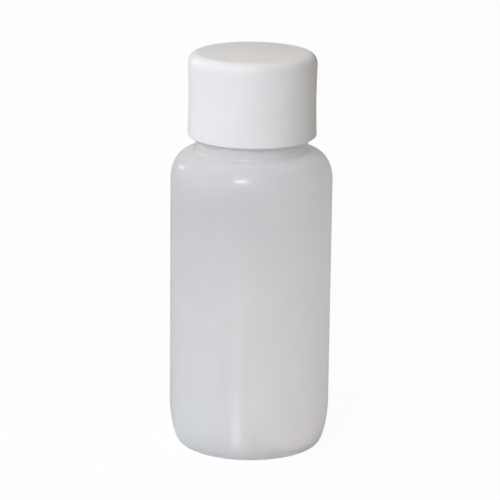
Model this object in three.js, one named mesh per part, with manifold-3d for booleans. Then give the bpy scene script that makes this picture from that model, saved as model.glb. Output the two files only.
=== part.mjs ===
// Reagent bottle of natural polyethylene, with a screw cap and the foam disc that seals it.
// Millimetres, +Z up along the bottle's axis, origin at the centre of the foot.
import * as THREE from 'three';
import { mergeVertices } from 'three/addons/utils/BufferGeometryUtils.js';
import Module from 'manifold-3d';

// The bottle's driving dimensions
const bodyDiameter = 38;
const shoulderTop = 71;
const shoulderHeight = 7.1;
const shoulderFullness = 2.2;
const shoulderFillet = 0.8;
const bodyWall = 1.1;
const heelHeight = 9.4;
const heelWidth = 2.3;
const heelFullness = 1.7;

// The foot: a flat ring that the bottle stands on, round a base pushed up clear of the bench
const footRingWidth = 1.8;
const baseWall = 1.4;
const pushUp = 1.3;
const pushUpSlope = 3.2;
const pinchSeamInset = 0.8;
const pinchSeamWidth = 1.2;
const pinchSeamDepth = 0.5;

// The neck: a thread wall on a wider collar, with a flat sealing rim round the bore. The collar
// rises from the shoulder and ends a little way up inside the cap's skirt.
const neckDiameter = 25;
const neckHeight = 20.4;
const neckWall = 2.1;
const collarStep = 0.7;
const collarLap = 0.8;
const collarSlope = 0.6;
const rimBevel = 0.35;
const boreFillet = 2.2;

// The cap: its wall leans in a little towards the top, so that it leaves the mould, and shrinks in
// between its stiff ends, and its top has a low crown. The thread room lies between the neck's wall
// and the cap's, and the threads of both run in it. The skirt ends clear of the shoulder.
const threadRoom = 1.5;
const capWall = 1.1;
const capDraft = 0.06;
const capWaist = 0.17;
const capTopWall = 1.6;
const capCrown = 0.4;
const capEdgeRadius = 2.75;
const capEdgeFullness = 2.4;
const skirtLift = 3.6;
const skirtRound = 0.6;
const beadHeight = 0.8;
const beadHold = 0.3;

// The sealing disc, loose enough in its pocket for the cap to turn round it
const linerThickness = 1.5;
const linerPlay = 0.3;
const seatGap = 0.1;

// How finely the outlines and the turned surfaces are drawn
const turnSegments = 64;
const shoulderSteps = 11;
const heelSteps = 8;
const slopeSteps = 5;
const filletSteps = 4;
const edgeSteps = 2;
const capWallSteps = 6;
const capEdgeSteps = 7;
const crownSteps = 3;
const sunkDepth = 0.3;

const quarterTurn = Math.PI / 2;
const wasm = await Module();
wasm.setup();

const at = (radius, height) => new THREE.Vector2(radius, height);

// A quarter round between two points of an outline. It leaves the first point level or upright and
// reaches the second square to that. Fullness 2 is a circle or an ellipse, and more is squarer.
function corner(from, to, leavesLevel, steps, fullness = 2) {
  const points = [];
  for (let i = 0; i <= steps; i++) {
    const turn = quarterTurn * i / steps;
    const early = Math.sin(turn) ** (2 / fullness);
    const late = 1 - Math.cos(turn) ** (2 / fullness);
    const across = leavesLevel ? early : late;
    const along = leavesLevel ? late : early;
    points.push(at(from.x + (to.x - from.x) * across, from.y + (to.y - from.y) * along));
  }
  return points;
}

// A soft step between two points, level at both ends
function softStep(from, to, steps) {
  const points = [];
  for (let i = 0; i <= steps; i++) {
    const share = i / steps;
    const eased = (1 - Math.cos(Math.PI * share)) / 2;
    points.push(at(from.x + (to.x - from.x) * share, from.y + (to.y - from.y) * eased));
  }
  return points;
}

// A solid of revolution about +Z from an outline in radius and height. The outline starts and ends
// on the axis and has the plastic on its left.
function turned(outline) {
  const kept = outline.filter((point, i) => i === 0 || point.distanceTo(outline[i - 1]) > 0);
  const geometry = new THREE.LatheGeometry(kept, turnSegments);
  geometry.rotateX(quarterTurn);
  return geometry;
}

function toSolid(geometry) {
  const bare = geometry.index ? geometry.clone() : geometry;
  bare.deleteAttribute('normal');
  bare.deleteAttribute('uv');
  const merged = mergeVertices(bare);
  const corners = merged.index.array;
  const faces = [];
  for (let i = 0; i < corners.length; i += 3) {
    const [a, b, c] = corners.slice(i, i + 3);
    if (a !== b && b !== c && c !== a) faces.push(a, b, c);
  }
  return new wasm.Manifold(new wasm.Mesh({
    numProp: 3,
    vertProperties: Float32Array.from(merged.attributes.position.array),
    triVerts: Uint32Array.from(faces),
  }));
}

function toGeometry(solid) {
  const mesh = solid.getMesh();
  const geometry = new THREE.BufferGeometry();
  geometry.setAttribute('position', new THREE.BufferAttribute(mesh.vertProperties, mesh.numProp));
  geometry.setIndex(new THREE.BufferAttribute(mesh.triVerts, 1));
  geometry.computeVertexNormals();
  return geometry;
}

// Sizes that more than one piece follows
const bodyRadius = bodyDiameter / 2;
const neckRadius = neckDiameter / 2;
const boreRadius = neckRadius - neckWall;
const collarRadius = neckRadius + collarStep;
const capBoreRadius = neckRadius + threadRoom;
const domeRadius = bodyRadius - heelWidth - footRingWidth - pushUpSlope;
const skirtBottom = shoulderTop + skirtLift;
const collarTop = skirtBottom + collarLap;
const rimTop = shoulderTop + neckHeight;
const linerRadius = capBoreRadius - linerPlay;
const linerBottom = rimTop + seatGap;
const linerTop = linerBottom + linerThickness;
const capUnderside = linerTop + seatGap;

function bottleShell() {
  const innerRadius = bodyRadius - bodyWall;
  const shoulderStart = shoulderTop - shoulderHeight;
  const shoulderEnd = collarRadius + shoulderFillet;
  const ringOuter = bodyRadius - heelWidth;
  const ringInner = ringOuter - footRingWidth;
  const floorOuter = ringOuter - bodyWall / 2;
  const ceiling = shoulderTop - bodyWall;
  const outside = [
    at(0, pushUp),
    ...softStep(at(domeRadius, pushUp), at(ringInner, 0), slopeSteps),
    ...corner(at(ringOuter, 0), at(bodyRadius, heelHeight), true, heelSteps, heelFullness),
    ...corner(at(bodyRadius, shoulderStart), at(shoulderEnd, shoulderTop), false,
      shoulderSteps, shoulderFullness),
    ...corner(at(shoulderEnd, shoulderTop), at(collarRadius, shoulderTop + shoulderFillet), true,
      filletSteps),
    at(collarRadius, collarTop),
    at(neckRadius, collarTop + collarSlope),
    at(neckRadius, rimTop - rimBevel),
    at(neckRadius - rimBevel, rimTop),
  ];
  const inside = [
    at(boreRadius + rimBevel, rimTop),
    at(boreRadius, rimTop - rimBevel),
    ...corner(at(boreRadius, ceiling + boreFillet), at(boreRadius + boreFillet, ceiling), false,
      filletSteps),
    ...corner(at(boreRadius + boreFillet, ceiling), at(innerRadius, shoulderStart), true,
      shoulderSteps, shoulderFullness),
    ...corner(at(innerRadius, heelHeight), at(floorOuter, baseWall), false,
      heelSteps, heelFullness),
    ...softStep(at(ringInner, baseWall), at(domeRadius, pushUp + baseWall), slopeSteps),
    at(0, pushUp + baseWall),
  ];
  return toSolid(turned([...outside, ...inside]));
}

// The seam that the closing mould leaves across the base, rounded below and clear of the bench
function pinchSeam() {
  const halfWidth = pinchSeamWidth / 2;
  const halfLength = domeRadius - pinchSeamInset;
  const section = new THREE.Shape([
    at(-halfWidth, sunkDepth),
    ...corner(at(-halfWidth, 0), at(0, -pinchSeamDepth), false, filletSteps),
    ...corner(at(0, -pinchSeamDepth), at(halfWidth, 0), true, filletSteps),
    at(halfWidth, sunkDepth),
  ]);
  const bar = new THREE.ExtrudeGeometry(section, { depth: 2 * halfLength, bevelEnabled: false });
  bar.translate(0, 0, -halfLength);
  bar.rotateX(quarterTurn);
  bar.rotateZ(quarterTurn);
  bar.translate(0, 0, pushUp);
  return toSolid(bar);
}

function bottleBody() {
  return toGeometry(bottleShell().add(pinchSeam()));
}

// The cap is one moulded cup. Under its top is the disc's pocket, held by a low bead, and below
// the bead the bore leaves room for the threads of cap and neck.
function screwCap() {
  const capTop = capUnderside + capTopWall;
  const skirtRadius = capBoreRadius + capWall;
  const leanIn = height => capDraft * (height - skirtBottom) / (capTop - skirtBottom);
  const crownStart = capTop - capCrown;
  const edgeStart = crownStart - capEdgeRadius;
  const edgeRadius = skirtRadius - leanIn(edgeStart);
  const crownRadius = edgeRadius - capEdgeRadius;
  const wallStart = skirtBottom + skirtRound;
  const rootFillet = linerPlay;
  const beadTop = linerBottom - seatGap;
  const beadMiddle = at(linerRadius - beadHold, beadTop - beadHeight / 2);
  const bevel = skirtRound / 2;
  const inside = [
    at(0, capUnderside),
    ...corner(at(capBoreRadius - rootFillet, capUnderside),
      at(capBoreRadius, capUnderside - rootFillet), true, filletSteps),
    ...corner(at(capBoreRadius, beadTop), beadMiddle, true, edgeSteps),
    ...corner(beadMiddle, at(capBoreRadius, beadTop - beadHeight), false, edgeSteps),
    ...corner(at(capBoreRadius, skirtBottom + bevel), at(capBoreRadius + bevel, skirtBottom),
      false, edgeSteps),
  ];
  const wall = [];
  for (let i = 1; i < capWallSteps; i++) {
    const share = i / capWallSteps;
    const height = wallStart + (edgeStart - wallStart) * share;
    wall.push(at(skirtRadius - leanIn(height) - capWaist * Math.sin(Math.PI * share), height));
  }
  const crown = [];
  for (let i = 1; i <= crownSteps; i++) {
    const outwards = 1 - i / crownSteps;
    crown.push(at(crownRadius * outwards, capTop - capCrown * outwards ** 2));
  }
  const outside = [
    ...corner(at(skirtRadius - skirtRound, skirtBottom), at(skirtRadius, wallStart), true,
      filletSteps),
    ...wall,
    ...corner(at(edgeRadius, edgeStart), at(crownRadius, crownStart), false, capEdgeSteps,
      capEdgeFullness),
    ...crown,
  ];
  return toGeometry(toSolid(turned([...inside, ...outside])));
}

function capLiner() {
  return toGeometry(toSolid(turned([
    at(0, linerBottom),
    at(linerRadius, linerBottom),
    at(linerRadius, linerTop),
    at(0, linerTop),
  ])));
}

const milkyPolyethylene = new THREE.MeshStandardMaterial({
  color: 0xd4d6da, roughness: 0.42, metalness: 0, transparent: true, opacity: 0.82,
});
const whiteCapPlastic = new THREE.MeshStandardMaterial({
  color: 0xe4e4e6, roughness: 0.38, metalness: 0,
});
const linerFoam = new THREE.MeshStandardMaterial({
  color: 0xeeeeea, roughness: 0.85, metalness: 0,
});

function piece(name, geometry, material) {
  const mesh = new THREE.Mesh(geometry, material);
  mesh.name = name;
  return mesh;
}

const reagentBottle = new THREE.Group();
reagentBottle.add(
  piece('bottle_body', bottleBody(), milkyPolyethylene),
  piece('screw_cap', screwCap(), whiteCapPlastic),
  piece('cap_liner', capLiner(), linerFoam),
);

export default reagentBottle;
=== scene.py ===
import math
import bpy
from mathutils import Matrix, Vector


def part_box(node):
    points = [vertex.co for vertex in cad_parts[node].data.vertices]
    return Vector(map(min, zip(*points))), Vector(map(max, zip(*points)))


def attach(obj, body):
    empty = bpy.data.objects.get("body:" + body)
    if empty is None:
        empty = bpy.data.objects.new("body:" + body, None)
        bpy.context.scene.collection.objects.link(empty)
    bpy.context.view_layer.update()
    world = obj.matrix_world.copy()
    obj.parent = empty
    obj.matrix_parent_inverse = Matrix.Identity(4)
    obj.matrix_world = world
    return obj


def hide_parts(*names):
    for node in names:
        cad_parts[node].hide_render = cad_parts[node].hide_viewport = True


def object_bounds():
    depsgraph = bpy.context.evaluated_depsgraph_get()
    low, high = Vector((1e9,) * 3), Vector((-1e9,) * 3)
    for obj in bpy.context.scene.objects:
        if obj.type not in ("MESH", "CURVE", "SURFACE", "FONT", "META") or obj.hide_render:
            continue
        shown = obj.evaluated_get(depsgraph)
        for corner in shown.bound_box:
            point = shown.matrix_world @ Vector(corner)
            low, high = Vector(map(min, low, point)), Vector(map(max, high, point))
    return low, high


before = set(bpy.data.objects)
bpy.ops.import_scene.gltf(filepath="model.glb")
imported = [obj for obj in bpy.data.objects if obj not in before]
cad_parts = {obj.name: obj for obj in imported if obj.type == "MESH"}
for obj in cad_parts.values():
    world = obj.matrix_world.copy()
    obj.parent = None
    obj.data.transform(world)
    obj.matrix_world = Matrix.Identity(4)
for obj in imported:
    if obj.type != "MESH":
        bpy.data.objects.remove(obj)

# Reagent bottle of milky polyethylene with a white screw cap and a foam disc inside it.
# Pieces are drawn in millimetres and made in metres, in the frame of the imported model.
mm = 0.001
cadLow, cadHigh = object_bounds()
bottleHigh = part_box("bottle_body")[1] / mm
capLow, capHigh = (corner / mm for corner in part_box("screw_cap"))
discLow, discHigh = (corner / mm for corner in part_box("cap_liner"))

turnSteps = 160      # how finely every turned surface is drawn
mergeGap = 0.002     # mm, vertices closer than this are one
creaseAngle = math.radians(38)


# Outlines

def at(radius, height):
    return Vector((radius, 0, height))


def cornerCurve(start, end, leavesLevel, steps, fullness=2.0):
    # quarter round: fullness 2 is an ellipse, more is squarer
    points = []
    for i in range(steps + 1):
        turn = math.pi / 2 * i / steps
        early = math.sin(turn) ** (2 / fullness)
        late = 1 - max(math.cos(turn), 0) ** (2 / fullness)
        across, along = (early, late) if leavesLevel else (late, early)
        points.append(at(start.x + (end.x - start.x) * across, start.z + (end.z - start.z) * along))
    return points


def softStep(start, end, steps):
    # a step between two heights that is level at both ends
    points = []
    for i in range(steps + 1):
        share = i / steps
        eased = (1 - math.cos(math.pi * share)) / 2
        points.append(at(start.x + (end.x - start.x) * share, start.z + (end.z - start.z) * eased))
    return points


# Modelling, as by hand

def deselectAll():
    if bpy.context.mode != "OBJECT":
        bpy.ops.object.mode_set(mode="OBJECT")
    bpy.ops.object.select_all(action="DESELECT")


def makeActive(piece):
    deselectAll()
    piece.select_set(True)
    bpy.context.view_layer.objects.active = piece


def selectWhere(piece, wanted):
    # vertices by place, from object mode, then back into edit mode
    bpy.ops.mesh.select_all(action="DESELECT")
    bpy.ops.object.mode_set(mode="OBJECT")
    for vertex in piece.data.vertices:
        vertex.select = wanted(vertex.co / mm)
    bpy.ops.object.mode_set(mode="EDIT")


def startLine(name, place):
    # a plane that is merged to one point, moved to its place and ready to be pulled
    deselectAll()
    bpy.ops.mesh.primitive_plane_add(size=mm, location=(0, 0, 0))
    piece = bpy.context.object
    piece.name = name
    bpy.ops.object.mode_set(mode="EDIT")
    bpy.ops.mesh.select_mode(type="VERT")
    bpy.ops.mesh.merge(type="CENTER")
    bpy.ops.transform.translate(value=place * mm)
    return piece


def pullAlong(points):
    for before, after in zip(points, points[1:]):
        bpy.ops.mesh.extrude_region_move(TRANSFORM_OT_translate={"value": (after - before) * mm})
    bpy.ops.mesh.select_all(action="SELECT")


def turnOutline(name, outline):
    # one point is pulled along the outline, and the line is spun round the axis
    kept = [outline[0]]
    for point in outline[1:]:
        if (point - kept[-1]).length > mergeGap:
            kept.append(point)
    piece = startLine(name, kept[0])
    pullAlong(kept)
    bpy.ops.mesh.spin(steps=turnSteps, angle=math.tau, center=(0, 0, 0), axis=(0, 0, 1))
    bpy.ops.mesh.select_all(action="SELECT")
    bpy.ops.mesh.remove_doubles(threshold=mergeGap * mm)
    bpy.ops.mesh.normals_make_consistent(inside=False)
    bpy.ops.object.mode_set(mode="OBJECT")
    return piece


def applyModifier(piece, kind, settings):
    makeActive(piece)
    modifier = piece.modifiers.new(kind.lower(), kind)
    for setting, value in settings.items():
        setattr(modifier, setting, value)
    bpy.ops.object.modifier_apply(modifier=modifier.name)


def softenEdges(piece, width, segments):
    applyModifier(piece, "BEVEL", {
        "width": width * mm, "segments": segments, "limit_method": "ANGLE",
        "angle_limit": creaseAngle, "miter_outer": "MITER_ARC",
    })


def joinSolid(piece, tool):
    applyModifier(piece, "BOOLEAN", {"operation": "UNION", "solver": "EXACT", "object": tool})
    makeActive(tool)
    bpy.ops.object.delete()


def smoothShade(piece):
    makeActive(piece)
    bpy.ops.object.shade_smooth_by_angle(angle=creaseAngle)


# Screw fit of the neck and the cap

closure = {          # mm
    "neckRadius": 12.5,
    "boreRadius": 14.0,
    "pitch": 4.233,
    "neckThreadBottom": 82.9,
    "bearingGap": 0.12,
}

neckThread = {       # mm
    "rootRadius": closure["neckRadius"],
    "height": 1.2,
    "sunk": 0.5,
    "rootWidth": 2.2,
    "crestWidth": 0.9,
    "turns": 1.55,
    "startDegrees": 201.375,   # between two of the neck's own edges
}

capThread = {        # mm, and it stands inwards
    "rootRadius": closure["boreRadius"],
    "height": -1.0,
    "sunk": -0.45,
    "rootWidth": 1.9,
    "crestWidth": 0.8,
    "turns": 1.6,
    "startDegrees": 100.125,
}

threadForm = {
    "stepsPerTurn": 80,
    "runOutSteps": 10,       # over which the thread grows at its start and thins at its end
    "endShare": 0.12,        # of the full profile, at both ends
    "shoulderShare": 0.72,   # of the height, where the flanks start to round over
    "easeShare": 0.09,       # of the flanks' width, by which the profile is wider there
    "flatShare": 0.3,        # of the crest's width, flat to each side of its middle
}


def threadProfile(thread):
    # reach from the root and rise, round one section of the thread
    form = threadForm
    height = thread["height"]
    shoulder = height * form["shoulderShare"]
    halfRoot = thread["rootWidth"] / 2
    halfFlat = thread["crestWidth"] * form["flatShare"]
    ease = (thread["rootWidth"] - thread["crestWidth"]) * form["easeShare"]
    halfShoulder = thread["crestWidth"] / 2 + ease
    return [
        (-thread["sunk"], -halfRoot), (0, -halfRoot), (shoulder, -halfShoulder), (height, -halfFlat),
        (height, halfFlat), (shoulder, halfShoulder), (0, halfRoot), (-thread["sunk"], halfRoot),
    ]


def helixThread(name, thread, bottom):
    # a rounded ridge, pulled step by step up a right-hand helix and thinned at both ends
    form = threadForm
    rootRadius = thread["rootRadius"]
    start = math.radians(thread["startDegrees"])
    stepTurn = math.tau / form["stepsPerTurn"]
    stepRise = Vector((0, 0, closure["pitch"] / form["stepsPerTurn"]))
    stepCount = round(thread["turns"] * form["stepsPerTurn"])

    def fullnessAt(step):
        nearEnd = min(min(step, stepCount - step) / form["runOutSteps"], 1)
        return form["endShare"] + (1 - form["endShare"]) * math.sin(nearEnd * math.pi / 2)

    def outwardAt(step):
        turned = start + stepTurn * step
        return Vector((math.cos(turned), math.sin(turned), 0))

    scale = fullnessAt(0)
    section = [outwardAt(0) * (rootRadius + reach * scale) + Vector((0, 0, bottom + rise * scale))
               for reach, rise in threadProfile(thread)]
    ridge = startLine(name, section[0])
    pullAlong(section)
    bpy.ops.mesh.edge_face_add()
    for step in range(1, stepCount + 1):
        bpy.ops.mesh.extrude_region_move()
        bpy.ops.transform.rotate(value=-stepTurn, orient_axis="Z", center_override=(0, 0, 0))
        bpy.ops.transform.translate(value=stepRise * mm)
        root = outwardAt(step) * rootRadius + Vector((0, 0, bottom)) + stepRise * step
        grow = fullnessAt(step) / fullnessAt(step - 1)
        if grow != 1:
            bpy.ops.transform.resize(value=(grow, grow, grow), center_override=root * mm)
    bpy.ops.mesh.select_all(action="SELECT")
    bpy.ops.mesh.normals_make_consistent(inside=False)
    bpy.ops.object.mode_set(mode="OBJECT")
    return ridge


def capThreadBottom():
    # under the neck's thread, so that their flanks meet but for the bearing gap
    meeting = (neckThread["rootWidth"] + neckThread["crestWidth"] + capThread["rootWidth"]
               + capThread["crestWidth"]) / 4
    turnsBetween = (capThread["startDegrees"] - neckThread["startDegrees"]) / 360
    return (closure["neckThreadBottom"] - meeting - closure["bearingGap"]
            + closure["pitch"] * turnsBetween)


# Shader nodes

class Signal:
    # a socket that takes part in sums, each of which adds one Math node
    def __init__(self, board, socket):
        self.board = board
        self.socket = socket

    def maths(self, operation, first, second):
        return self.board.node("ShaderNodeMath", {"operation": operation}, {0: first, 1: second})["Value"]

    def __add__(self, other):
        return self.maths("ADD", self, other)

    def __radd__(self, other):
        return self.maths("ADD", other, self)

    def __sub__(self, other):
        return self.maths("SUBTRACT", self, other)

    def __rsub__(self, other):
        return self.maths("SUBTRACT", other, self)

    def __mul__(self, other):
        return self.maths("MULTIPLY", self, other)

    def __rmul__(self, other):
        return self.maths("MULTIPLY", other, self)

    def atLeast(self, limit):
        return self.maths("MAXIMUM", self, limit)


class Board:
    # a node tree, and the one way that this script adds a node to it
    def __init__(self, tree):
        self.tree = tree
        tree.nodes.clear()

    def node(self, kind, settings=None, sockets=None):
        made = self.tree.nodes.new(kind)
        for name, value in (settings or {}).items():
            if name == "stops":
                self.setStops(made.color_ramp, value)
            else:
                setattr(made, name, value)
        for name, value in (sockets or {}).items():
            self.feed(self.inputOf(made, name), value)
        return {socket.name: Signal(self, socket) for socket in made.outputs if socket.enabled}

    def inputOf(self, made, name):
        if isinstance(name, int):
            return made.inputs[name]
        return next(socket for socket in made.inputs if socket.enabled and socket.name == name)

    def feed(self, socket, value):
        if isinstance(value, Signal):
            self.tree.links.new(value.socket, socket)
        else:
            socket.default_value = value

    def setStops(self, ramp, stops):
        # a new ramp already has its two stops
        for element, (place, shade) in zip(ramp.elements, stops):
            element.position = place
            element.color = (shade, shade, shade, 1)


def newMaterial(name):
    material = bpy.data.materials.new(name)
    material.use_nodes = True
    return material, Board(material.node_tree)


def opaque(colour):
    return (*colour, 1)


def grain(board, place, pattern):
    # noise whose features are about size mm across, from 0 to 1
    if "stretch" in pattern:
        place = board.node("ShaderNodeMapping", {}, {
            "Vector": place, "Scale": pattern["stretch"],
        })["Vector"]
    return board.node("ShaderNodeTexNoise", {}, {
        "Vector": place, "Scale": 1 / (pattern["size"] * mm), "Detail": pattern["detail"],
    })["Fac"]


def densityRamp(board, value, look):
    stops = [(look["densityFrom"], 0.0), (look["densityTo"], 1.0)]
    return board.node("ShaderNodeValToRGB", {"stops": stops}, {"Fac": value})["Color"]


def mixColours(board, factor, first, second):
    return board.node("ShaderNodeMix", {"data_type": "RGBA"}, {
        "Factor": factor, "A": opaque(first), "B": opaque(second),
    })["Result"]


def mixShaders(board, factor, first, second):
    return board.node("ShaderNodeMixShader", {}, {0: factor, 1: first, 2: second})["Shader"]


def bumpNormal(board, height, depth, normal=None):
    sockets = {"Height": height, "Distance": depth * mm, "Strength": 1.0}
    if normal:
        sockets["Normal"] = normal
    return board.node("ShaderNodeBump", {}, sockets)["Normal"]


def relief(board, place, patterns):
    # each pattern lies on the one before, the coarsest first
    shape = None
    for pattern in patterns:
        shape = bumpNormal(board, grain(board, place, pattern), pattern["depth"], shape)
    return shape


def scatteringPlastic(board, look, colour, roughness, shape):
    # plastic that light enters, scattering a short way below the surface
    return board.node("ShaderNodeBsdfPrincipled", {"subsurface_method": "RANDOM_WALK"}, {
        "Base Color": colour,
        "Roughness": roughness,
        "IOR": look["refraction"],
        "Normal": shape,
        "Subsurface Weight": look["scatterWeight"],
        "Subsurface Radius": look["scatterRadius"],
        "Subsurface Scale": look["scatterScale"] * mm,
    })["BSDF"]


def riseBetween(board, height, low, high, start=0.0, end=1.0):
    # goes smoothly from start to end between two heights in mm
    return board.node("ShaderNodeMapRange", {"interpolation_type": "SMOOTHSTEP"}, {
        "Value": height, "From Min": low * mm, "From Max": high * mm, "To Min": start, "To Max": end,
    })["Result"]


# Bottle

bottleLook = {       # patterns have sizes and depths in mm
    "clearerColour": (0.893, 0.903, 0.928),
    "denserColour": (0.938, 0.947, 0.971),
    "densityFrom": 0.35,
    "densityTo": 0.65,
    "roughness": 0.25,
    "scatterWeight": 1.0,
    "scatterRadius": (1.0, 0.95, 0.9),
    "scatterScale": 2.0,      # mm
    "refraction": 1.96,       # makes up for the share of the surface that lets light through
    "passedColour": (0.971, 0.976, 0.984),
    "passedInside": 0.9,      # the share of light that a face of the hollow lets through
    "passedHigh": 0.775,      # the same for the outer skin, whose plastic is denser low down
    "passedLow": 0.65,
    "passedNeck": 0.36,       # and for the neck, whose wall is twice as thick
    "denseBelow": 36.0,       # mm up the bottle, as are the next three
    "clearAbove": 64.0,
    "neckFrom": 70.0,
    "neckTo": 72.2,
    "patchiness": 0.12,       # how far the clouds of denser plastic change these shares
    "clouds": {"size": 9.0, "detail": 2.0, "share": 0.55},
    "streaks": {"size": 1.6, "detail": 2.0, "stretch": (1, 1, 0.06), "share": 0.3, "roughens": 0.06},
    "speckle": {"size": 0.45, "detail": 1.0, "share": 0.15, "roughens": 0.04},
    "waves": {"size": 14.0, "detail": 0.0, "depth": 0.5},
    "peel": {"size": 1.1, "detail": 1.0, "depth": 0.012},
    "skin": {"size": 0.28, "detail": 1.0, "depth": 0.003},
}


def passedThroughSkin(board, place, density):
    # how much light the outer skin lets through, up the bottle and from cloud to cloud
    look = bottleLook
    height = board.node("ShaderNodeSeparateXYZ", {}, {"Vector": place})["Z"]
    inBody = riseBetween(board, height, look["denseBelow"], look["clearAbove"], look["passedLow"],
                         look["passedHigh"])
    inNeck = riseBetween(board, height, look["neckFrom"], look["neckTo"])
    passed = inBody - inNeck * (look["passedHigh"] - look["passedNeck"])
    return passed + (0.5 - density) * look["patchiness"]


def milkyPolyethylene(name, isInside):
    look = bottleLook
    material, board = newMaterial(name)
    place = board.node("ShaderNodeTexCoord")["Object"]
    clouds = grain(board, place, look["clouds"])
    streaks = grain(board, place, look["streaks"])
    speckle = grain(board, place, look["speckle"])
    thickness = (clouds * look["clouds"]["share"] + streaks * look["streaks"]["share"]
                 + speckle * look["speckle"]["share"])
    density = densityRamp(board, thickness, look)
    colour = mixColours(board, density, look["clearerColour"], look["denserColour"])
    roughness = (look["roughness"] + (streaks - 0.5) * look["streaks"]["roughens"]
                 + (speckle - 0.5) * look["speckle"]["roughens"])
    shape = relief(board, place, [look["waves"], look["peel"], look["skin"]])
    surface = scatteringPlastic(board, look, colour, roughness, shape)
    through = board.node("ShaderNodeBsdfTranslucent", {}, {"Color": opaque(look["passedColour"])})["BSDF"]
    passed = look["passedInside"] if isInside else passedThroughSkin(board, place, density)
    board.node("ShaderNodeOutputMaterial", {}, {"Surface": mixShaders(board, passed, surface, through)})
    return material


bottle = {           # mm
    "shoulderTop": 71.0,
    "shoulderHeight": 7.1,
    "shoulderFullness": 2.2,
    "shoulderFillet": 0.8,
    "wall": 1.1,
    "heelHeight": 9.4,
    "heelWidth": 2.3,
    "heelFullness": 1.7,
    "footRing": 1.8,
    "baseWall": 1.4,
    "pushUp": 1.3,
    "pushUpSlope": 3.2,
    "neckWall": 2.1,
    "collarStep": 0.7,
    "collarLap": 0.8,
    "collarSlope": 0.6,
    "rimBevel": 0.35,
    "boreFillet": 2.2,
    "edgeRound": 0.16,
    "seamWidth": 1.2,
    "seamDepth": 0.5,
    "seamInset": 0.8,
    "seamRound": 0.25,
    "partingWidth": 0.3,
    "partingHeight": 0.045,
    "partingFrom": 2.35,      # up the heel
    "partingTo": 70.9,        # below the fillet of the shoulder
    "boreFacing": -0.5,       # a face of the neck that points this far to the axis is the bore's
    "steps": {                # how finely its outline and its edges are drawn
        "slope": 8,
        "heel": 16,
        "wall": 16,
        "shoulder": 22,
        "fillet": 8,
        "innerHeel": 12,
        "innerShoulder": 18,
        "edge": 3,
        "seam": 4,
    },
}


def footRadii():
    # the outside and the inside of the ring that it stands on, and the flat middle of its base
    ringOuter = bottleHigh.x - bottle["heelWidth"]
    ringInner = ringOuter - bottle["footRing"]
    return ringOuter, ringInner, ringInner - bottle["pushUpSlope"]


def bottleOutside():
    size = bottle
    steps = size["steps"]
    bodyRadius = bottleHigh.x
    rimTop = bottleHigh.z
    neckRadius = closure["neckRadius"]
    collarRadius = neckRadius + size["collarStep"]
    collarTop = capLow.z + size["collarLap"]
    shoulderStart = size["shoulderTop"] - size["shoulderHeight"]
    shoulderEnd = collarRadius + size["shoulderFillet"]
    filletTop = size["shoulderTop"] + size["shoulderFillet"]
    ringOuter, ringInner, domeRadius = footRadii()
    points = [
        at(0, size["pushUp"]),
        at(domeRadius / 2, size["pushUp"]),
        *softStep(at(domeRadius, size["pushUp"]), at(ringInner, 0), steps["slope"]),
        *cornerCurve(at(ringOuter, 0), at(bodyRadius, size["heelHeight"]), True, steps["heel"],
                     size["heelFullness"]),
    ]
    for i in range(1, steps["wall"]):
        height = size["heelHeight"] + (shoulderStart - size["heelHeight"]) * i / steps["wall"]
        points.append(at(bodyRadius, height))
    points += [
        *cornerCurve(at(bodyRadius, shoulderStart), at(shoulderEnd, size["shoulderTop"]), False,
                     steps["shoulder"], size["shoulderFullness"]),
        *cornerCurve(at(shoulderEnd, size["shoulderTop"]), at(collarRadius, filletTop), True,
                     steps["fillet"]),
        at(collarRadius, collarTop),
        at(neckRadius, collarTop + size["collarSlope"]),
        at(neckRadius, rimTop - size["rimBevel"]),
        at(neckRadius - size["rimBevel"], rimTop),
    ]
    return points


def bottleInside():
    size = bottle
    steps = size["steps"]
    innerRadius = bottleHigh.x - size["wall"]
    rimTop = bottleHigh.z
    boreRadius = closure["neckRadius"] - size["neckWall"]
    boreFoot = boreRadius + size["boreFillet"]
    ceiling = size["shoulderTop"] - size["wall"]
    shoulderStart = size["shoulderTop"] - size["shoulderHeight"]
    ringOuter, ringInner, domeRadius = footRadii()
    floorOuter = ringOuter - size["wall"] / 2
    domeTop = size["pushUp"] + size["baseWall"]
    return [
        at(boreRadius + size["rimBevel"], rimTop),
        at(boreRadius, rimTop - size["rimBevel"]),
        *cornerCurve(at(boreRadius, ceiling + size["boreFillet"]), at(boreFoot, ceiling), False,
                     steps["fillet"]),
        *cornerCurve(at(boreFoot, ceiling), at(innerRadius, shoulderStart), True,
                     steps["innerShoulder"], size["shoulderFullness"]),
        *cornerCurve(at(innerRadius, size["heelHeight"]), at(floorOuter, size["baseWall"]), False,
                     steps["innerHeel"], size["heelFullness"]),
        *softStep(at(ringInner, size["baseWall"]), at(domeRadius, domeTop), steps["slope"]),
        at(0, domeTop),
    ]


def pinchSeam():
    # the bar that the closing mould leaves across the base
    size = bottle
    domeRadius = footRadii()[2]
    deselectAll()
    # 2 mm across at first, so that each factor of the resize is half a length in mm
    bpy.ops.mesh.primitive_cube_add(size=2 * mm, location=(0, 0, size["pushUp"] * mm))
    seam = bpy.context.object
    seam.name = "pinchSeam"
    bpy.ops.object.mode_set(mode="EDIT")
    bpy.ops.transform.resize(value=(domeRadius - size["seamInset"], size["seamWidth"] / 2,
                                    size["seamDepth"]))
    bpy.ops.mesh.bevel(offset=size["seamRound"] * mm, segments=size["steps"]["seam"],
                       affect="EDGES")
    bpy.ops.object.mode_set(mode="OBJECT")
    bpy.ops.object.transform_apply(location=True, rotation=True, scale=True)
    return seam


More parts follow.
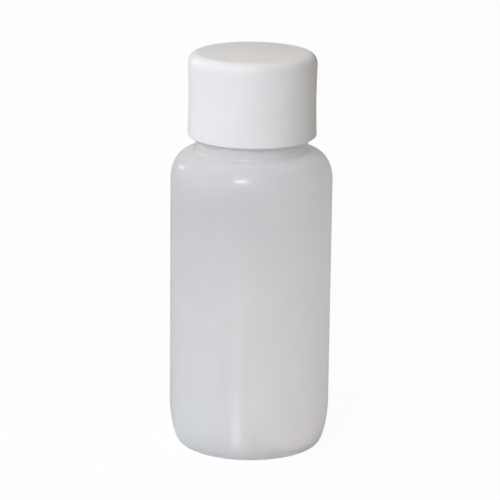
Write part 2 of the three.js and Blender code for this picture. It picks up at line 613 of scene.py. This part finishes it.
def partingLines(shell):
    # the mould's two halves meet in the plane of the seam and leave a fine ridge up both sides
    size = bottle
    half = size["partingWidth"] / 2
    makeActive(shell)
    bpy.ops.object.mode_set(mode="EDIT")
    for offset in (-half, half):
        bpy.ops.mesh.select_all(action="SELECT")
        bpy.ops.mesh.bisect(plane_co=(0, offset * mm, 0), plane_no=(0, 1, 0))
    ringOuter = footRadii()[0]
    shoulderStart = size["shoulderTop"] - size["shoulderHeight"]

    def onRidge(place):
        radius = abs(place.x)
        inPlane = abs(place.y) < mergeGap
        onWall = place.z >= size["partingFrom"] and radius >= ringOuter
        onShoulder = place.z > shoulderStart
        isBelowNeck = place.z < size["partingTo"]
        return inPlane and isBelowNeck and (onWall or onShoulder) and isOuter(radius, place.z)

    selectWhere(shell, onRidge)
    bpy.ops.transform.shrink_fatten(value=size["partingHeight"] * mm)
    bpy.ops.object.mode_set(mode="OBJECT")


def isBeyondCurve(across, along, fullness):
    # whether shares of a quarter round's width and height lead past it
    return across ** fullness + along ** fullness > 1


def isOuter(radius, height):
    # whether a point of the shell below the neck is on its outer skin, and not on the hollow's
    size = bottle
    half = size["wall"] / 2
    bodyMiddle = bottleHigh.x - half
    ringOuter, ringInner, domeRadius = footRadii()
    isOnDome = radius < (domeRadius + ringInner) / 2
    baseMiddle = size["baseWall"] / 2 + (size["pushUp"] if isOnDome else 0)
    shoulderStart = size["shoulderTop"] - size["shoulderHeight"]
    if height < baseMiddle or height > size["shoulderTop"] - half or radius > bodyMiddle:
        return True
    if height > shoulderStart:
        shoulderEnd = closure["neckRadius"] + size["collarStep"] + size["shoulderFillet"]
        across = max(radius - shoulderEnd, 0) / (bodyMiddle - shoulderEnd)
        along = (height - shoulderStart) / (size["shoulderHeight"] - half)
        return isBeyondCurve(across, along, size["shoulderFullness"])
    if height < size["heelHeight"]:
        heelStart = ringOuter - half
        across = max(radius - heelStart, 0) / (bodyMiddle - heelStart)
        along = (size["heelHeight"] - height) / (size["heelHeight"] - half)
        return isBeyondCurve(across, along, size["heelFullness"])
    return False


def paintInside(shell):
    # the faces of the bore and the hollow pass more light than the outer skin
    size = bottle
    neckFoot = size["shoulderTop"] - size["wall"] / 2
    makeActive(shell)
    bpy.ops.object.mode_set(mode="EDIT")
    bpy.ops.mesh.select_mode(type="FACE")
    bpy.ops.mesh.select_all(action="DESELECT")
    bpy.ops.object.mode_set(mode="OBJECT")
    for face in shell.data.polygons:
        centre = face.center / mm
        outward = Vector((centre.x, centre.y, 0))
        if centre.z > neckFoot:
            face.select = face.normal.dot(outward.normalized()) < size["boreFacing"]
        else:
            face.select = not isOuter(outward.length, centre.z)
    bpy.ops.object.mode_set(mode="EDIT")
    shell.active_material_index = 1
    bpy.ops.object.material_slot_assign()
    bpy.ops.mesh.select_mode(type="VERT")
    bpy.ops.object.mode_set(mode="OBJECT")


def makeBottle():
    shell = turnOutline("bottleShell", bottleOutside() + bottleInside())
    softenEdges(shell, bottle["edgeRound"], bottle["steps"]["edge"])
    joinSolid(shell, pinchSeam())
    partingLines(shell)
    joinSolid(shell, helixThread("neckThread", neckThread, closure["neckThreadBottom"]))
    smoothShade(shell)
    shell.data.materials.clear()
    shell.data.materials.append(milkyPolyethylene("milkyPolyethylene", False))
    shell.data.materials.append(milkyPolyethylene("milkyPolyethyleneInside", True))
    paintInside(shell)
    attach(shell, "bottle")
    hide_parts("bottle_body")
    print("bottle made:", len(shell.data.polygons), "faces")


# Cap

capLook = {          # patterns have sizes and depths in mm
    "colour": (0.86, 0.862, 0.87),
    "shadedColour": (0.84, 0.842, 0.852),
    "densityFrom": 0.3,
    "densityTo": 0.7,
    "roughness": 0.42,
    "scatterWeight": 0.3,
    "scatterRadius": (1.0, 0.9, 0.8),
    "scatterScale": 0.5,      # mm
    "refraction": 1.49,
    "clouds": {"size": 6.0, "detail": 2.0, "share": 0.7, "roughens": 0.08},
    "speckle": {"size": 0.5, "detail": 1.0, "share": 0.3, "roughens": 0.08},
    "peel": {"size": 1.4, "detail": 1.0, "depth": 0.012},
    "skin": {"size": 0.35, "detail": 2.0, "depth": 0.006},
}


def whiteCapPlastic():
    look = capLook
    material, board = newMaterial("whiteCapPlastic")
    place = board.node("ShaderNodeTexCoord")["Object"]
    clouds = grain(board, place, look["clouds"])
    speckle = grain(board, place, look["speckle"])
    mottle = clouds * look["clouds"]["share"] + speckle * look["speckle"]["share"]
    density = densityRamp(board, mottle, look)
    colour = mixColours(board, density, look["shadedColour"], look["colour"])
    roughness = (look["roughness"] + (clouds - 0.5) * look["clouds"]["roughens"]
                 + (speckle - 0.5) * look["speckle"]["roughens"])
    shape = relief(board, place, [look["peel"], look["skin"]])
    surface = scatteringPlastic(board, look, colour, roughness, shape)
    board.node("ShaderNodeOutputMaterial", {}, {"Surface": surface})
    return material


cap = {              # mm
    "wall": 1.1,
    "topWall": 1.6,
    "edgeRadius": 2.75,
    "edgeFullness": 2.4,
    "crown": 0.4,
    "waist": 0.17,
    "skirtRound": 0.6,
    "draft": 0.06,
    "rootFillet": 0.3,
    "beadHeight": 0.8,
    "beadHold": 0.3,
    "discPlay": 0.3,
    "seatGap": 0.1,
    "steps": {       # how finely its outline is drawn
        "root": 6,
        "bead": 5,
        "mouth": 4,
        "skirt": 6,
        "wall": 18,
        "edge": 16,
        "crown": 10,
    },
}


def capInside():
    size = cap
    steps = size["steps"]
    skirtBottom = capLow.z
    boreRadius = capHigh.x - size["wall"]
    underside = capHigh.z - size["topWall"]
    rootRadius = boreRadius - size["rootFillet"]
    beadTop = discLow.z - size["seatGap"]
    beadRadius = boreRadius - size["discPlay"] - size["beadHold"]
    beadMiddle = at(beadRadius, beadTop - size["beadHeight"] / 2)
    bevel = size["skirtRound"] / 2
    return [
        at(0, underside),
        at(boreRadius / 2, underside),
        *cornerCurve(at(rootRadius, underside), at(boreRadius, underside - size["rootFillet"]), True,
                     steps["root"]),
        *cornerCurve(at(boreRadius, beadTop), beadMiddle, True, steps["bead"]),
        *cornerCurve(beadMiddle, at(boreRadius, beadTop - size["beadHeight"]), False, steps["bead"]),
        *cornerCurve(at(boreRadius, skirtBottom + bevel), at(boreRadius + bevel, skirtBottom), False,
                     steps["mouth"]),
    ]


def capOutside():
    # the moulded wall leans in to the top and shrinks in a little between its two stiff ends
    size = cap
    steps = size["steps"]
    skirtRadius = capHigh.x
    crownStart = capHigh.z - size["crown"]
    edgeStart = crownStart - size["edgeRadius"]
    edgeRadius = skirtRadius - size["draft"]
    crownRadius = edgeRadius - size["edgeRadius"]
    points = cornerCurve(at(skirtRadius - size["skirtRound"], capLow.z),
                         at(skirtRadius, capLow.z + size["skirtRound"]), True, steps["skirt"])
    wallBottom = points[-1].z
    for i in range(1, steps["wall"]):
        share = i / steps["wall"]
        shrunk = size["waist"] * math.sin(math.pi * share)
        points.append(at(skirtRadius - size["draft"] * share - shrunk,
                         wallBottom + (edgeStart - wallBottom) * share))
    points += cornerCurve(at(edgeRadius, edgeStart), at(crownRadius, crownStart), False,
                          steps["edge"], size["edgeFullness"])
    for i in range(1, steps["crown"] + 1):
        outwards = 1 - i / steps["crown"]
        points.append(at(crownRadius * outwards, capHigh.z - size["crown"] * outwards ** 2))
    return points


def makeCap():
    shell = turnOutline("screwCap", capInside() + capOutside())
    joinSolid(shell, helixThread("capThread", capThread, capThreadBottom()))
    smoothShade(shell)
    shell.data.materials.clear()
    shell.data.materials.append(whiteCapPlastic())
    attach(shell, "cap")
    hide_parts("screw_cap")
    print("cap made:", len(shell.data.polygons), "faces")


# Sealing disc

discLook = {         # sizes and depths in mm
    "colour": (0.86, 0.858, 0.84),
    # a darker colour for the lowest parts of the relief: painted shade in the foam's pits
    "pitShadeColour": (0.78, 0.778, 0.76),
    "roughness": 0.82,
    "cells": {"size": 0.35, "share": 0.7},
    "pores": {"size": 0.2, "detail": 2.0, "share": 0.3, "roughens": 0.1},
    "cellDepth": 0.04,
}


def linerFoam():
    look = discLook
    material, board = newMaterial("linerFoam")
    place = board.node("ShaderNodeTexCoord")["Object"]
    cells = board.node("ShaderNodeTexVoronoi", {"feature": "F1"}, {
        "Vector": place, "Scale": 1 / (look["cells"]["size"] * mm),
    })["Distance"]
    pores = grain(board, place, look["pores"])
    # depth lowers the relief and darkens the colour alike, so the pits and grooves between the cells
    # carry painted shade
    depth = cells * look["cells"]["share"] + pores * look["pores"]["share"]
    surface = board.node("ShaderNodeBsdfPrincipled", {}, {
        "Base Color": mixColours(board, depth, look["colour"], look["pitShadeColour"]),
        "Roughness": look["roughness"] + (pores - 0.5) * look["pores"]["roughens"],
        "Normal": bumpNormal(board, 1 - depth, look["cellDepth"]),
    })["BSDF"]
    board.node("ShaderNodeOutputMaterial", {}, {"Surface": surface})
    return material


disc = {             # mm, with the print that the neck's rim leaves in its underside
    "edgeRound": 0.25,
    "printDepth": 0.12,
    "printWidth": 2.1,
    "printSlope": 0.35,
    "curveSteps": 4,
}


def discOutline():
    size = disc
    radius = discHigh.x
    low = discLow.z
    high = discHigh.z
    innerFlat = radius - size["edgeRound"]
    printOuter = closure["neckRadius"]
    printInner = printOuter - size["printWidth"]
    printTop = low + size["printDepth"]
    steps = size["curveSteps"]
    return [
        at(0, low),
        *softStep(at(printInner - size["printSlope"], low), at(printInner, printTop), steps),
        *softStep(at(printOuter, printTop), at(printOuter + size["printSlope"], low), steps),
        *cornerCurve(at(innerFlat, low), at(radius, low + size["edgeRound"]), True, steps),
        *cornerCurve(at(radius, high - size["edgeRound"]), at(innerFlat, high), False, steps),
        at(0, high),
    ]


def makeDisc():
    piece = turnOutline("sealDisc", discOutline())
    smoothShade(piece)
    piece.data.materials.clear()
    piece.data.materials.append(linerFoam())
    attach(piece, "liner")
    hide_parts("cap_liner")
    print("sealing disc made:", len(piece.data.polygons), "faces")


# Floor, light and camera

studio = {
    "floorSize": 6.0,          # m
    "floorColour": (0.70, 0.70, 0.70),
    "white": (1.0, 1.0, 1.0),
    "backgroundShare": 0.94,   # of the floor that the camera sees is plain white, the rest is lit
    "roomLight": (1.088, 1.032, 0.943),
    "roomFrom": (-0.46, -0.05, 0.886),   # overhead and a little from the left, fading all round
    "lampDistance": 0.8,       # m from the object's middle
    "benchLift": 1.0,          # mm above the floor, of the lights that lie on it
    "benchGap": 1.0,           # mm between them and the bottle's wall
}

lamps = [            # degrees round from the front and up, width in m, watts
    {"name": "keyLamp", "round": -17, "up": 32, "width": 0.15, "power": 2.3,
     "colour": (0.845, 0.89, 1.03)},
    {"name": "sideLamp", "round": -105, "up": 15, "width": 0.7, "power": 0.33,
     "colour": (0.72, 0.98, 1.27)},
    {"name": "edgeLamp", "round": -128, "up": 13, "width": 0.08, "power": 0.5,
     "colour": (1.0, 1.0, 1.0)},
]

benchLights = [      # what shines up off the bench: degrees round, mm out from the wall, mm across, watts
    {"name": "benchGlare", "round": -20, "far": 165.0, "width": 8.5, "power": 0.0103,
     "colour": (1.0, 1.0, 1.0)},
    {"name": "benchLeft", "round": -70, "far": 111.0, "width": 120.0, "power": 0.0107,
     "colour": (0.78, 1.0, 1.22)},
    {"name": "benchRight", "round": 50, "far": 71.0, "width": 90.0, "power": 0.008,
     "colour": (1.2, 1.0, 0.78)},
]

cameraView = {
    "distance": 0.6,           # m
    "elevation": 15.5,         # degrees
    "aimHeight": 46.7,         # mm up the bottle's axis
    "roll": 0.67,              # degrees
    "lens": 182.5,             # mm
    "sensor": 36.0,            # mm
    "shiftAcross": -0.0014,
}


def fromFront(turn, rise=0.0):
    # a direction that is turned round from the front and raised
    return Vector((math.sin(turn) * math.cos(rise), -math.cos(turn) * math.cos(rise), math.sin(rise)))


def areaLight(settings, shape, place, turned, width):
    bpy.ops.object.light_add(type="AREA", location=place)
    light = bpy.context.object
    light.name = settings["name"]
    light.rotation_euler = turned
    light.data.shape = shape
    light.data.size = width
    light.data.energy = settings["power"]
    light.data.color = settings["colour"]
    light.visible_camera = False
    return light


def addLamp(lamp):
    away = fromFront(math.radians(lamp["round"]), math.radians(lamp["up"]))
    place = (cadLow + cadHigh) / 2 + away * studio["lampDistance"]
    areaLight(lamp, "DISK", place, away.to_track_quat("Z", "Y").to_euler(), lamp["width"])


def addBenchLight(card):
    # lies flat and faces up, on the line along which the bottle's wall mirrors it to the camera
    turn = math.radians(card["round"])
    near = studio["benchGap"]
    onWall = fromFront(turn / 2) * bottleHigh.x
    place = onWall + fromFront(turn) * (near + card["far"]) / 2 + Vector((0, 0, studio["benchLift"]))
    light = areaLight(card, "ELLIPSE", place * mm, (math.pi, 0, turn), card["width"] * mm)
    light.data.size_y = (card["far"] - near) * mm


def makeFloor():
    deselectAll()
    bpy.ops.mesh.primitive_plane_add(size=studio["floorSize"], location=(0, 0, 0))
    floor = bpy.context.object
    floor.name = "studioFloor"
    material, board = newMaterial("studioFloor")
    white = opaque(studio["white"])
    isCamera = board.node("ShaderNodeLightPath")["Is Camera Ray"]
    lit = board.node("ShaderNodeBsdfDiffuse", {}, {"Color": opaque(studio["floorColour"])})["BSDF"]
    shaded = board.node("ShaderNodeBsdfDiffuse", {}, {"Color": white})["BSDF"]
    plain = board.node("ShaderNodeEmission", {}, {"Color": white, "Strength": 1.0})["Emission"]
    seen = mixShaders(board, studio["backgroundShare"], shaded, plain)
    board.node("ShaderNodeOutputMaterial", {}, {"Surface": mixShaders(board, isCamera, lit, seen)})
    floor.data.materials.append(material)


def lightWorld():
    world = bpy.data.worlds.new("studioWorld")
    bpy.context.scene.world = world
    world.use_nodes = True
    board = Board(world.node_tree)
    isCamera = board.node("ShaderNodeLightPath")["Is Camera Ray"]
    direction = board.node("ShaderNodeTexCoord")["Generated"]
    towardsRoom = board.node("ShaderNodeVectorMath", {"operation": "DOT_PRODUCT"}, {
        0: direction, 1: studio["roomFrom"],
    })["Value"]
    room = board.node("ShaderNodeBackground", {}, {
        "Color": opaque(studio["roomLight"]), "Strength": towardsRoom.atLeast(0.0),
    })["Background"]
    white = board.node("ShaderNodeBackground", {}, {
        "Color": opaque(studio["white"]), "Strength": 1.0,
    })["Background"]
    board.node("ShaderNodeOutputWorld", {}, {"Surface": mixShaders(board, isCamera, room, white)})


def placeCamera():
    view = cameraView
    rise = math.radians(view["elevation"])
    aim = Vector((0, 0, view["aimHeight"] * mm))
    bpy.ops.object.camera_add(location=aim + fromFront(0, rise) * view["distance"])
    camera = bpy.context.object
    camera.name = "photoCamera"
    camera.data.lens = view["lens"]
    camera.data.sensor_width = view["sensor"]
    camera.data.shift_x = view["shiftAcross"]
    camera.rotation_euler = (math.pi / 2 - rise, 0, 0)
    camera.rotation_euler.rotate_axis("Z", math.radians(view["roll"]))
    bpy.context.scene.camera = camera


makeBottle()
makeDisc()
makeCap()
makeFloor()
lightWorld()
for lamp in lamps:
    addLamp(lamp)
for card in benchLights:
    addBenchLight(card)
placeCamera()
bpy.context.scene.view_settings.view_transform = "Standard"
print("studio ready")
